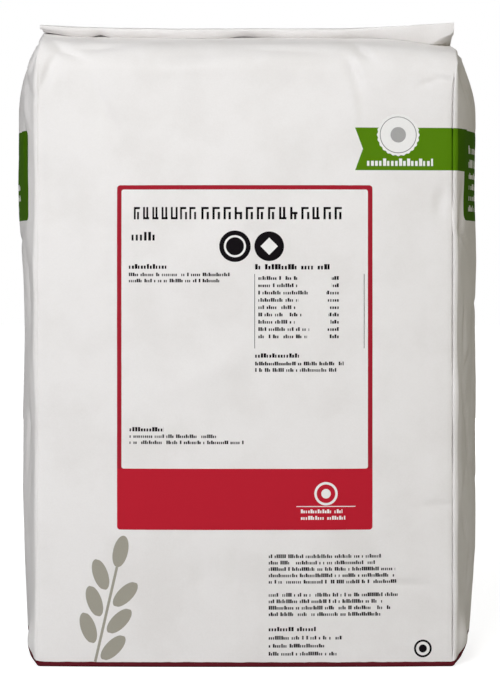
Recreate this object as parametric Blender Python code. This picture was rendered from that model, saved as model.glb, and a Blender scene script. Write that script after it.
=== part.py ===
"""A filled and shut paper flour sack that stands on its flat base.

The sack is one tube of paper, folded and glued, so it is one closed solid: four panels between
crisp upright folds, a rounded roof, two gussets that tuck in under the roof's ends, and the shut
mouth, folded forwards over the roof as a flap. Lengths are in metres and +Z is up. The printed
front faces -Y, and the origin is under the middle of the sack, at the height of its base.
"""

import math
from dataclasses import dataclass

import bmesh
import bpy
from mathutils import Vector

SACK_NAME = "flour_sack"

# Panels between the folds
PANEL_WIDTH = 0.280
PANEL_DEPTH = 0.140
WALL_HEIGHT = 0.414
HALF_WIDTH = PANEL_WIDTH / 2
HALF_DEPTH = PANEL_DEPTH / 2

# How far the flour pushes the front and back out, and over what height that grows
FRONT_BULGE = 0.009
BACK_BULGE = 0.011
FACE_FOOT_SHARE = 0.30
FACE_FOOT = 0.130
FACE_HEAD = 0.150

# The same for the two gussets, which keep more of their fullness at foot and roof
SIDE_FOOT = 0.110
SIDE_HEAD = 0.0125
UPPER_FROM = 0.240
UPPER_OVER = 0.100
FACE_POWER = 2.6
SIDE_POWER = 1.7

# Narrow strip of a gusset beside each upright fold, turned towards the front or back
STRIP_WIDTH = 0.0035
STRIP_SHARE = 0.16

# Rounded edges
FOOT_RADIUS = 0.0018
SHOULDER_RADIUS = 0.014

# Roof
ROOF_RISE = 0.016
ROOF_POWER = 2.2
ROOF_BLEND = 0.055
CORNER_DIP = 0.0065
CORNER_DIP_FROM = 0.5

# Slit where a gusset tucks in under the end of the roof
TUCK_DEPTH = 0.018
TUCK_DEEPEST = 0.0025
TUCK_HEIGHT = 0.008
TUCK_POWER = 0.7

# Centre crease of the gussets
CREASE_DEPTH = 0.0022
CREASE_WIDTH = 0.16

# Shut mouth, folded forwards
RIDGE_THICKNESS = 0.004
FLAP_LENGTH = 0.041
FLAP_GAP = 0.0008
FLAP_THICKNESS = 0.0042
LIP_THICKNESS = 0.0066
LIP_ROUND = 0.35
LIP_NARROWING = 0.25
CURL_RISE = 0.0096
CURL_FROM = 0.4
LEFT_RISE = 0.0017
LEFT_RISE_FROM = 0.75
END_LIFT = 0.0010
END_LIFT_FROM = 0.93
LEFT_FLARE = 0.0010
RIGHT_FLARE = 0.0027
UNDERSIDE_FLARE = 0.45
FLAP_TURNS = 4
FLAP_ROWS = 6

# Grid lines of the box that the sack is shaped from
WIDTH_LINES = 9
DEPTH_LINES = 8
WALL_LINES = 13
HEAD_DEPTHS = (0.0025, 0.005, 0.008, 0.012, 0.017, 0.023, 0.031, 0.042)
HEAD_BAND = 0.055
FOOT_HEIGHTS = (0.0005, 0.0018, 0.010)

# How near a face of the box a point or face has to be to lie on it
ON_FACE = 1e-5

PAPER_COLOUR = (0.80, 0.79, 0.78, 1.0)
BASE_COLOUR = (0.16, 0.010, 0.022, 1.0)
PAPER_ROUGHNESS = 0.62
CRISP_FOLD_DEGREES = 35


@dataclass(frozen=True)
class Gusset:
    """How full one side of the sack is."""

    bulge: float
    upper_extra: float
    foot_share: float
    edge_share: float


LEFT_GUSSET = Gusset(bulge=0.0158, upper_extra=0.0037, foot_share=0.76, edge_share=0.05)
RIGHT_GUSSET = Gusset(bulge=0.0215, upper_extra=0.0, foot_share=0.66, edge_share=0.14)


def ease(share):
    """A quarter sine: quick from 0, level at 1."""
    return math.sin(math.pi / 2 * min(1.0, max(0.0, share)))


def smooth(share):
    """An S curve from 0 to 1."""
    share = min(1.0, max(0.0, share))
    return share * share * (3 - 2 * share)


def past(share, start):
    """How far a share is past its start, from 0 there to 1 at the end."""
    return max(0.0, (share - start) / (1 - start))


def face_bulge(across, depth, height):
    """How far the front (depth below 0) or back stands out at a share of the width from the middle."""
    most = FRONT_BULGE if depth < 0 else BACK_BULGE
    crown = 1 - abs(across) ** FACE_POWER
    low = FACE_FOOT_SHARE + (1 - FACE_FOOT_SHARE) * ease(height / FACE_FOOT)
    return most * crown * low * ease((WALL_HEIGHT - height) / FACE_HEAD)


def gusset_crown(along):
    """The gusset's level section, from 0 at the folds to 1 at its middle."""
    inwards = HALF_DEPTH * (1 - abs(along))
    if inwards < STRIP_WIDTH:
        return STRIP_SHARE * max(0.0, inwards) / STRIP_WIDTH
    rest = (HALF_DEPTH - inwards) / (HALF_DEPTH - STRIP_WIDTH)
    return STRIP_SHARE + (1 - STRIP_SHARE) * (1 - rest**SIDE_POWER)


def side_bulge(side, along, height):
    """How far a gusset stands out at a share of the depth from its centre crease."""
    gusset = LEFT_GUSSET if side < 0 else RIGHT_GUSSET
    most = gusset.bulge + gusset.upper_extra * smooth((height - UPPER_FROM) / UPPER_OVER)
    crease = CREASE_DEPTH * smooth(1 - abs(along) / CREASE_WIDTH)
    low = gusset.foot_share + (1 - gusset.foot_share) * ease(height / SIDE_FOOT)
    high = 1 - (1 - gusset.edge_share) * math.exp((height - WALL_HEIGHT) / SIDE_HEAD)
    return (most * gusset_crown(along) - crease) * low * high


def tuck(along, height):
    """How far a gusset is tucked in under the end of the roof."""
    below = WALL_HEIGHT - height
    if below >= TUCK_HEIGHT:
        return 0.0
    if below < TUCK_DEEPEST:
        fold = below / TUCK_DEEPEST
    else:
        fold = 1 - smooth((below - TUCK_DEEPEST) / (TUCK_HEIGHT - TUCK_DEEPEST))
    return TUCK_DEPTH * max(0.0, 1 - abs(along)) ** TUCK_POWER * fold


def rounded(across, up, radius):
    """Turns the outer square of an edge, with both values from 0 to radius, into a quarter circle."""
    length = math.hypot(across, up)
    if length == 0:
        return across, up
    scale = max(across, up) / length
    return across * scale, up * scale


def round_shoulder(y, z):
    """Rounds the long edges between the walls and the roof."""
    past_y = abs(y) - (HALF_DEPTH - SHOULDER_RADIUS)
    past_z = z - (WALL_HEIGHT - SHOULDER_RADIUS)
    if past_y <= 0 or past_z <= 0:
        return y, z
    past_y, past_z = rounded(past_y, past_z, SHOULDER_RADIUS)
    inner_y = math.copysign(HALF_DEPTH - SHOULDER_RADIUS, y)
    return inner_y + math.copysign(past_y, y), WALL_HEIGHT - SHOULDER_RADIUS + past_z


def foot_inset(height):
    """How far the rounded edge at the base lies inside the wall."""
    if height >= FOOT_RADIUS:
        return 0.0
    down = FOOT_RADIUS - height
    return FOOT_RADIUS - math.sqrt(FOOT_RADIUS**2 - down**2)


def roof_lift(x, y):
    """How far the roof stands above the top of the walls."""
    crown = 1 - min(1.0, abs(y) / HALF_DEPTH) ** ROOF_POWER
    return ROOF_RISE * crown - CORNER_DIP * past(x / HALF_WIDTH, CORNER_DIP_FROM) ** 2


def sack_point(point):
    """Takes a point of the plain box's surface to its place on the filled sack."""
    across = point.x / HALF_WIDTH
    along = point.y / HALF_DEPTH
    height = point.z
    y, z = round_shoulder(point.y, height)
    inset = foot_inset(height)
    x = point.x - across * inset
    y -= along * inset
    y += along * face_bulge(across, point.y, height)
    x += across * side_bulge(across, along, height)
    if HALF_WIDTH - abs(point.x) < ON_FACE:
        x -= across * tuck(along, height)
    z += roof_lift(point.x, y) * smooth((height - (WALL_HEIGHT - ROOF_BLEND)) / ROOF_BLEND)
    return Vector((x, y, z))


def spread_lines(count):
    """Shares from -1 to 1, without the ends, closer together towards the ends."""
    return [math.sin(math.pi / 2 * step / count) for step in range(1 - count, count)]


def height_lines():
    """Heights at which the box is cut, closer together at the foot and under the roof."""
    head = WALL_HEIGHT - HEAD_BAND
    wall = [head * step / WALL_LINES for step in range(1, WALL_LINES + 1)]
    return [*FOOT_HEIGHTS, *wall, *(WALL_HEIGHT - depth for depth in HEAD_DEPTHS)]


def cut_box(mesh):
    """Cuts the faces of the box into a grid, with a narrow strip along the roof for the mouth."""
    cuts = [(Vector((share * HALF_WIDTH, 0, 0)), Vector((1, 0, 0))) for share in spread_lines(WIDTH_LINES)]
    depths = [share * HALF_DEPTH for share in spread_lines(DEPTH_LINES) if share != 0]
    depths += [STRIP_WIDTH - HALF_DEPTH, HALF_DEPTH - STRIP_WIDTH]
    depths += [-RIDGE_THICKNESS / 2, RIDGE_THICKNESS / 2]
    cuts += [(Vector((0, depth, 0)), Vector((0, 1, 0))) for depth in depths]
    cuts += [(Vector((0, 0, height)), Vector((0, 0, 1))) for height in height_lines()]
    for place, normal in cuts:
        everything = mesh.verts[:] + mesh.edges[:] + mesh.faces[:]
        bmesh.ops.bisect_plane(mesh, geom=everything, plane_co=place, plane_no=normal)


def flap_underside(across, share):
    """Height of the flap's underside above the roof, from the fold (0) to the lip (1)."""
    end = smooth(past(abs(across), END_LIFT_FROM))
    return FLAP_GAP * (1 + share) + END_LIFT * share * end


def flap_top(across, share):
    """Height of the flap's top above the roof. The right-hand end curls up."""
    thickness = FLAP_THICKNESS + (LIP_THICKNESS - FLAP_THICKNESS) * share
    curl = CURL_RISE * past(across, CURL_FROM) ** 2
    rise = LEFT_RISE * smooth(past(-across, LEFT_RISE_FROM))
    return FLAP_GAP * (1 + share) + thickness + (curl + rise) * share


def flap_steps():
    """Rows of the flap: a turn over the ridge, a stretch along the roof, and a round lip."""
    turns = [("turn", math.pi / 2 * step / FLAP_TURNS) for step in range(1, FLAP_TURNS + 1)]
    stretch = [("stretch", step / FLAP_ROWS) for step in range(1, FLAP_ROWS + 1)]
    return turns + stretch + [("lip", 1.0)]


def flap_point(across, upper, kind, value):
    """A point of the flap. Upper is true on the side that ends on top."""
    height_of = flap_top if upper else flap_underside
    start = -RIDGE_THICKNESS / 2 - FLAP_GAP
    x = across * HALF_WIDTH
    if kind == "turn":
        radius = height_of(across, 0)
        ridge = WALL_HEIGHT + roof_lift(x, 0)
        return Vector((x, start + radius * math.cos(value), ridge + radius * math.sin(value)))
    y = start - (FLAP_LENGTH + start) * value
    rise = height_of(across, value)
    if kind == "lip":
        thickness = flap_top(across, value) - flap_underside(across, value)
        y -= LIP_ROUND * thickness
        rise += thickness * (-LIP_NARROWING if upper else LIP_NARROWING)
    flare = LEFT_FLARE if across < 0 else RIGHT_FLARE
    flare *= smooth(value) * (1 if upper else UNDERSIDE_FLARE)
    return Vector((x + across * flare, y, WALL_HEIGHT + roof_lift(x, y) + rise))


def fold_mouth(mesh, strip, across_of, upper_of):
    """Draws the ridge strip out of the roof and folds it forwards, row by row."""
    for kind, value in flap_steps():
        edges = {edge for face in strip for edge in face.edges}
        made = bmesh.ops.extrude_face_region(mesh, geom=strip + list(edges))["geom"]
        strip = [item for item in made if isinstance(item, bmesh.types.BMFace)]
        for vertex in (item for item in made if isinstance(item, bmesh.types.BMVert)):
            vertex.co = flap_point(vertex[across_of], vertex[upper_of] > 0, kind, value)


def centre_on_base(mesh):
    """Moves the sack so that the origin lies under the middle of its outer box."""
    places = [vertex.co for vertex in mesh.verts]
    middle_x = (min(place.x for place in places) + max(place.x for place in places)) / 2
    middle_y = (min(place.y for place in places) + max(place.y for place in places)) / 2
    bmesh.ops.translate(mesh, verts=mesh.verts, vec=Vector((-middle_x, -middle_y, 0)))


def sack_mesh():
    """The sack's surface, shaped from a box."""
    mesh = bmesh.new()
    bmesh.ops.create_cube(mesh, size=1)
    bmesh.ops.scale(mesh, verts=mesh.verts, vec=Vector((PANEL_WIDTH, PANEL_DEPTH, WALL_HEIGHT)))
    bmesh.ops.translate(mesh, verts=mesh.verts, vec=Vector((0, 0, WALL_HEIGHT / 2)))
    cut_box(mesh)
    across_of = mesh.verts.layers.float.new("across")
    upper_of = mesh.verts.layers.float.new("upper")
    strip = []
    for face in mesh.faces:
        middle = face.calc_center_median()
        if abs(middle.y) < RIDGE_THICKNESS / 2 and middle.z > WALL_HEIGHT - ON_FACE:
            strip.append(face)
        if middle.z < ON_FACE:
            face.material_index = 1
    for vertex in mesh.verts:
        vertex[across_of] = vertex.co.x / HALF_WIDTH
        vertex[upper_of] = vertex.co.y
    for vertex in mesh.verts:
        vertex.co = sack_point(vertex.co)
    fold_mouth(mesh, strip, across_of, upper_of)
    centre_on_base(mesh)
    data = bpy.data.meshes.new(SACK_NAME)
    mesh.to_mesh(data)
    mesh.free()
    return data


def paint(name, colour, roughness):
    """A plain material."""
    material = bpy.data.materials.new(name)
    material.use_nodes = True
    shader = material.node_tree.nodes["Principled BSDF"]
    shader.inputs["Base Color"].default_value = colour
    shader.inputs["Roughness"].default_value = roughness
    shader.inputs["Metallic"].default_value = 0.0
    material.diffuse_color = colour
    return material


def main():
    """Clears the scene and builds the sack in its own collection."""
    for item in list(bpy.data.objects):
        bpy.data.objects.remove(item, do_unlink=True)
    collection = bpy.data.collections.new(SACK_NAME)
    bpy.context.scene.collection.children.link(collection)
    data = sack_mesh()
    data.materials.append(paint("white_paper", PAPER_COLOUR, PAPER_ROUGHNESS))
    data.materials.append(paint("dark_red_base", BASE_COLOUR, PAPER_ROUGHNESS))
    data.shade_smooth()
    data.set_sharp_from_angle(angle=math.radians(CRISP_FOLD_DEGREES))
    collection.objects.link(bpy.data.objects.new(SACK_NAME, data))


main()
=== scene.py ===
"""Looks of a filled and shut paper flour sack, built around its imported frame.

The sack's paper is one mesh: a box of fine quads that is taken to the filled form by the same
named sizes as the solid, then creased, dented and given the small unrest of filled paper. The
print is worked out in the paper's own coordinates, in metres along the paper.
"""

import logging
import math
from collections.abc import Callable
from dataclasses import asdict, dataclass, field
from enum import Enum

import bpy
import numpy as np
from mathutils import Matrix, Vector


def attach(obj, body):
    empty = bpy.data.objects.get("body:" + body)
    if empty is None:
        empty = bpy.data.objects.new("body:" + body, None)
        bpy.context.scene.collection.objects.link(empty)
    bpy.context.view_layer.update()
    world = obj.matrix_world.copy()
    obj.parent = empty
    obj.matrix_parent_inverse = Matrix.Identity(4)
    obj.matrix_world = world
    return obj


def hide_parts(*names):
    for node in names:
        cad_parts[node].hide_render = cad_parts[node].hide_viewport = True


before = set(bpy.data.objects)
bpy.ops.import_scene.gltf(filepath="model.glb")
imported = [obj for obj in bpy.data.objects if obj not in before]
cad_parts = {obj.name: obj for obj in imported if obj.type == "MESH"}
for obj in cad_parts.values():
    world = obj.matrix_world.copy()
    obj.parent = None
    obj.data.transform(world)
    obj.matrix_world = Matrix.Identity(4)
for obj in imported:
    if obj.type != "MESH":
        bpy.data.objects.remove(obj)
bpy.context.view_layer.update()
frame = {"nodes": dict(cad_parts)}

SACK_NODE = "flour_sack"
PAPER_PIECE = "flour_sack_paper"
PAPER_MAP = "paper"

log = logging.getLogger("flour_sack")

Array = np.ndarray
Colour = tuple[float, float, float]
Box = tuple[float, float, float, float]


def smooth(share: Array | float) -> Array:
    """An S curve from 0 to 1."""
    share = np.clip(share, 0.0, 1.0)
    return share * share * (3 - 2 * share)


def ease(share: Array | float) -> Array:
    """A quarter sine: quick from 0, level at 1."""
    return np.sin(math.pi / 2 * np.clip(share, 0.0, 1.0))


def past(share: Array | float, start: float) -> Array:
    """How far a share is past its start, from 0 there to 1 at the end."""
    return np.maximum(0.0, (share - start) / (1 - start))


def peak(distance: Array, width: float, power: int = 2) -> Array:
    """A bell from 1 at no distance down to 0; a higher power makes it squarer."""
    return np.exp(-((distance / width) ** power))


def corners(grid: Array) -> Array:
    """What a grid holds at the four corners of each of its cells, in their turn."""
    return np.stack([grid[:-1, :-1], grid[1:, :-1], grid[1:, 1:], grid[:-1, 1:]], axis=2)


def linked(name: str, data: bpy.types.ID) -> bpy.types.Object:
    """A new object in the scene."""
    made = bpy.data.objects.new(name, data)
    bpy.context.scene.collection.objects.link(made)
    return made


def graded(half: float, steps: int, finest: float) -> Array:
    """Lines from -half to half that lie closer together towards both ends.

    Args:
        half: Distance from the middle to an end, in metres.
        steps: Number of gaps between the lines.
        finest: Share of an even gap that is left at the ends.

    Returns:
        The places of the lines.
    """
    even = np.linspace(-1, 1, steps + 1)
    return half * ((1 - finest) * np.sin(math.pi / 2 * even) + finest * even)


@dataclass(frozen=True)
class Gusset:
    """How full one side of the sack is, as in the solid."""

    bulge: float
    upper_extra: float
    foot_share: float
    edge_share: float
    strip_kept: float = 0.0
    head: float = 0.040


@dataclass(frozen=True)
class Dent:
    """A dent or, with a negative depth, a ridge in a panel.

    It lies at (u, v) on the paper and runs along an angle in degrees. It is soft on one side and
    falls off sharply on the other where sharp is below 1. Lengths are in metres.
    """

    u: float
    v: float
    length: float
    width: float
    angle: float
    depth: float
    sharp: float = 1.0

    def press(self, u: Array, v: Array) -> Array:
        """How far the paper is pressed in at each place."""
        turn = math.radians(self.angle)
        along = (u - self.u) * math.cos(turn) + (v - self.v) * math.sin(turn)
        aside = (v - self.v) * math.cos(turn) - (u - self.u) * math.sin(turn)
        width = np.where(aside > 0, self.width * self.sharp, self.width)
        return self.depth * np.exp(-((along / self.length) ** 2) - (aside / width) ** 2)


class Panel(Enum):
    """The faces of the plain box, named for what they become."""

    FRONT = "front"
    BACK = "back"
    LEFT = "left"
    RIGHT = "right"
    ROOF = "roof"
    BASE = "base"


@dataclass
class SackForm:
    """The sizes of the filled sack and the maths that takes the plain box to them."""

    half_width: float = 0.140
    half_depth: float = 0.070
    wall_height: float = 0.414
    front_bulge: float = 0.009
    back_bulge: float = 0.011
    face_foot_share: float = 0.30
    face_foot: float = 0.130
    face_head: float = 0.150
    face_power: float = 2.6
    side_foot: float = 0.110
    side_power: float = 1.7
    foot_cut: float = 0.6
    foot_cut_height: float = 0.018
    upper_from: float = 0.240
    upper_over: float = 0.100
    strip_width: float = 0.0016
    strip_share: float = 0.11
    strip_fade: float = 0.0015
    strip_corner: tuple[float, float] = (0.62, 0.98)
    left: Gusset = Gusset(0.0158, upper_extra=0.0037, foot_share=0.76, edge_share=0.05)
    right: Gusset = Gusset(0.0215, 0.0, foot_share=0.66, edge_share=0.10, strip_kept=1.0)
    foot_radius: float = 0.0018
    shoulder_radius: float = 0.014
    roof_rise: float = 0.016
    roof_power: float = 2.2
    roof_blend: float = 0.055
    corner_dip: float = 0.0065
    corner_dip_from: float = 0.5
    left_dip: float = -0.0022
    left_dip_from: float = 0.3
    end_from: float = 0.9
    left_cut: float = 0.0024
    left_cut_from: float = 0.402
    left_cut_blend: float = 0.020
    right_flare: float = 0.0020
    right_flare_at: float = 0.4168
    right_flare_width: float = 0.0032
    tuck_depth: float = 0.018
    tuck_deepest: float = 0.0025
    tuck_height: float = 0.008
    tuck_power: float = 0.7
    crease_depth: float = 0.0022
    crease_width: float = 0.16

    def face_bulge(self, across: Array, depth: Array, height: Array) -> Array:
        """How far the front or back stands out at a share of the width from the middle."""
        most = np.where(depth < 0, self.front_bulge, self.back_bulge)
        crown = 1 - np.abs(across) ** self.face_power
        low = self.face_foot_share + (1 - self.face_foot_share) * ease(height / self.face_foot)
        return most * crown * low * ease((self.wall_height - height) / self.face_head)

    def gusset_crown(self, along: Array) -> Array:
        """The gusset's level section, from 0 at the folds to 1 at its middle."""
        inwards = self.half_depth * (1 - np.abs(along))
        rest = np.clip((self.half_depth - inwards) / (self.half_depth - self.strip_width), 0, 1)
        body = self.strip_share + (1 - self.strip_share) * (1 - rest**self.side_power)
        strip = self.strip_share * np.maximum(0.0, inwards) / self.strip_width
        return np.where(inwards < self.strip_width, strip, body)

    def side_bulge(self, side: Array, along: Array, height: Array) -> Array:
        """How far a gusset stands out at a share of the depth from its centre crease."""
        parts = []
        for gusset in (self.left, self.right):
            extra = gusset.upper_extra * smooth((height - self.upper_from) / self.upper_over)
            crease = self.crease_depth * smooth(1 - np.abs(along) / self.crease_width)
            low = gusset.foot_share + (1 - gusset.foot_share) * ease(height / self.side_foot)
            low = low * (1 - self.foot_cut * (1 - ease(height / self.foot_cut_height)))
            below = self.wall_height - height
            high = gusset.edge_share + (1 - gusset.edge_share) * ease(below / gusset.head)
            crown = self.gusset_crown(along)
            corner = smooth((np.abs(along) - self.strip_corner[0]) / np.ptp(self.strip_corner))
            kept = np.maximum(smooth(below / self.strip_fade), corner)
            strip = np.minimum(crown + 0.1, self.strip_share) * gusset.strip_kept
            strip = strip * (1 - high) * kept
            full = (gusset.bulge + extra) * crown - crease
            parts.append((full * high + gusset.bulge * strip) * low)
        return np.where(side < 0, parts[0], parts[1])

    def tuck(self, along: Array, height: Array) -> Array:
        """How far a gusset is tucked in under the end of the roof."""
        below = self.wall_height - height
        closing = 1 - smooth((below - self.tuck_deepest) / (self.tuck_height - self.tuck_deepest))
        fold = np.where(below < self.tuck_deepest, below / self.tuck_deepest, closing)
        narrow = np.maximum(0.0, 1 - np.abs(along) - self.strip_width / self.half_depth)
        return self.tuck_depth * narrow**self.tuck_power * fold

    def round_shoulder(self, y: Array, z: Array) -> tuple[Array, Array]:
        """Rounds the long edges between the walls and the roof."""
        radius = self.shoulder_radius
        inner_y = self.half_depth - radius
        inner_z = self.wall_height - radius
        over_y = np.abs(y) - inner_y
        over_z = z - inner_z
        curved = (over_y > 0) & (over_z > 0)
        length = np.where(curved, np.hypot(over_y, over_z), 1.0)
        scale = np.maximum(over_y, over_z) / length
        round_y = np.copysign(inner_y + over_y * scale, y)
        return np.where(curved, round_y, y), np.where(curved, inner_z + over_z * scale, z)

    def foot_inset(self, height: Array) -> Array:
        """How far the rounded edge at the base lies inside the wall."""
        down = np.clip(self.foot_radius - height, 0.0, self.foot_radius)
        return self.foot_radius - np.sqrt(self.foot_radius**2 - down**2)

    def roof_lift(self, x: Array, y: Array) -> Array:
        """How far the roof stands above the top of the walls."""
        crown = 1 - np.minimum(1.0, np.abs(y) / self.half_depth) ** self.roof_power
        dip = self.corner_dip * past(x / self.half_width, self.corner_dip_from) ** 2
        dip = dip + self.left_dip * past(-x / self.half_width, self.left_dip_from) ** 2
        return self.roof_rise * crown - dip

    def place(self, box: Array, on_side: Array) -> Array:
        """Takes points of the plain box's surface to the filled sack.

        Args:
            box: Points of the box, one row each.
            on_side: True for points of the two gussets.

        Returns:
            Their places on the filled sack, before it is centred.
        """
        x, y, height = box.T
        across = x / self.half_width
        along = y / self.half_depth
        new_y, z = self.round_shoulder(y, height)
        inset = self.foot_inset(height)
        new_x = x - across * inset + across * self.side_bulge(across, along, height)
        new_x = new_x - np.where(on_side, across * self.tuck(along, height), 0.0)
        new_y = new_y - along * inset + along * self.face_bulge(across, y, height)
        rising = smooth((height - (self.wall_height - self.roof_blend)) / self.roof_blend)
        z = z + self.roof_lift(x, new_y) * rising
        cut = smooth((z - self.left_cut_from) / self.left_cut_blend)
        new_x = new_x + self.left_cut * past(-across, self.end_from) * cut
        flare = peak(z - self.right_flare_at, self.right_flare_width)
        new_x = new_x + self.right_flare * past(across, self.end_from) * flare
        return np.stack([new_x, new_y, z], axis=1)


@dataclass
class MouthForm:
    """The shut mouth, folded forwards over the roof."""

    ridge_thickness: float = 0.004
    length: float = 0.041
    gap: float = 0.0008
    thickness: float = 0.0034
    lip_thickness: float = 0.0054
    curl_rise: float = 0.0110
    curl_from: float = 0.4
    left_rise: float = 0.0004
    left_rise_from: float = 0.75
    end_lift: float = 0.0010
    left_end_lift: float = 0.0028
    left_end_from: float = 0.80
    lip_tilt: float = 0.0056
    end_lift_from: float = 0.93
    left_flare: float = 0.0010
    right_flare: float = 0.0027
    underside_flare: float = 0.45
    left_underside_flare: float = -1.2
    lip_reach: float = 0.0023
    plies: int = 6
    turn_rows: int = 8
    stretch_rows: int = 16
    lip_rows: int = 7
    right_hollow: float = 0.011
    left_hollow: float = 0.004
    facet_from: float = 0.900
    facet_in: float = -0.0012
    facet_back: float = 0.0260
    slits: tuple[tuple[float, float, float], ...] = (
        (-0.72, 0.038, 0.0022),
        (-0.02, 0.075, 0.0022),
        (0.10, 0.08, 0.0010),
        (0.66, 0.22, 0.0012),
    )

    def underside(self, across: Array, share: float) -> Array:
        """Height of the flap's underside above the roof, from the fold (0) to the lip (1)."""
        end = self.end_lift * smooth(past(across, self.end_lift_from))
        end = end + self.left_end_lift * smooth(past(-across, self.left_end_from))
        slits = self.slit(across) * share**3
        return self.gap * (1 - 0.7 * share) + share * end + slits

    def slit(self, across: Array) -> Array:
        """Where the lip stands off the roof, so that a dark line shows under it."""
        return sum(depth * peak(across - at, width) for at, width, depth in self.slits)

    def top(self, across: Array, share: float) -> Array:
        """Height of the flap's top above the roof. The right-hand end curls up."""
        thickness = self.thickness + (self.lip_thickness - self.thickness) * share
        curl = self.curl_rise * past(across, self.curl_from) ** 2
        rise = self.left_rise * smooth(past(-across, self.left_rise_from))
        return self.gap * (1 + share) + thickness + (curl + rise) * share


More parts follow.
